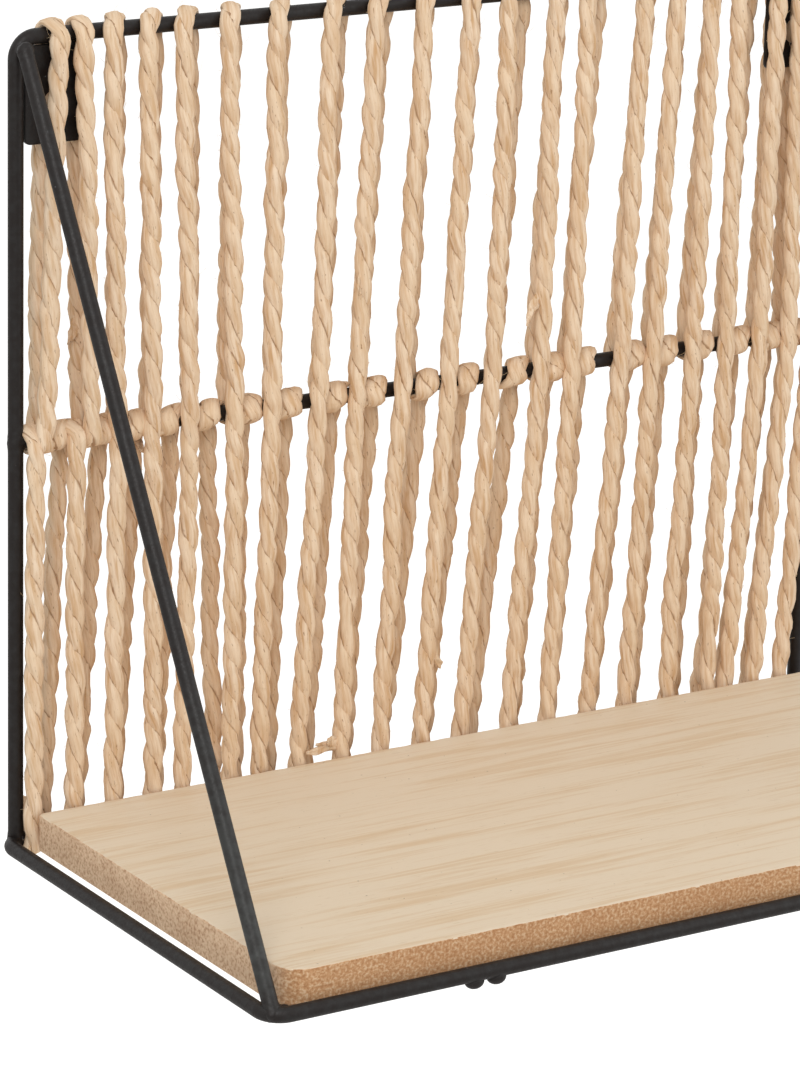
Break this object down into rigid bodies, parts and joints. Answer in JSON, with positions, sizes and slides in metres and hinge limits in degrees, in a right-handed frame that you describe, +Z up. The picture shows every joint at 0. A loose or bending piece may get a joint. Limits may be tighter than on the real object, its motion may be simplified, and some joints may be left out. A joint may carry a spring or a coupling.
{
  "type": "hanging rope shelf",
  "caption": "Wall-hung shelf: a board carried in a wire frame with sloping side stays and a back panel of rope wound over the frame's rods.",
  "frame": {"origin": "midway between the two wall screws that the keyholes hang on, in the middle plane of the back frame", "axes": "+X to the right seen from the room, +Y towards the wall, +Z up"},
  "size_m": [0.327, 0.1787, 0.279],
  "materials": {
    "frame_paint": "satin charcoal black paint on steel rod",
    "screw_zinc": "zinc-plated steel",
    "fibreboard": "raw sawn edge of medium density fibreboard",
    "wood_veneer": "pale matt wood veneer with a faint straight grain",
    "paper_rope": "two-ply twisted paper rope, dry and fibrous"
  },
  "bodies": {
    "root": {"bottom_loop": "frame_paint", "back_frame": "frame_paint", "mid_rail": "frame_paint", "left_diagonal": "frame_paint", "right_diagonal": "frame_paint", "left_hanger_plate": "frame_paint", "right_hanger_plate": "frame_paint", "shelf_core": "fibreboard", "top_veneer": "wood_veneer", "bottom_veneer": "wood_veneer", "front_left_eyelet": "frame_paint", "front_right_eyelet": "frame_paint", "back_left_eyelet": "frame_paint", "back_right_eyelet": "frame_paint", "front_left_screw": "screw_zinc", "front_right_screw": "screw_zinc", "back_left_screw": "screw_zinc", "back_right_screw": "screw_zinc", "rope_winding": "paper_rope"}
  },
  "joints": []
}
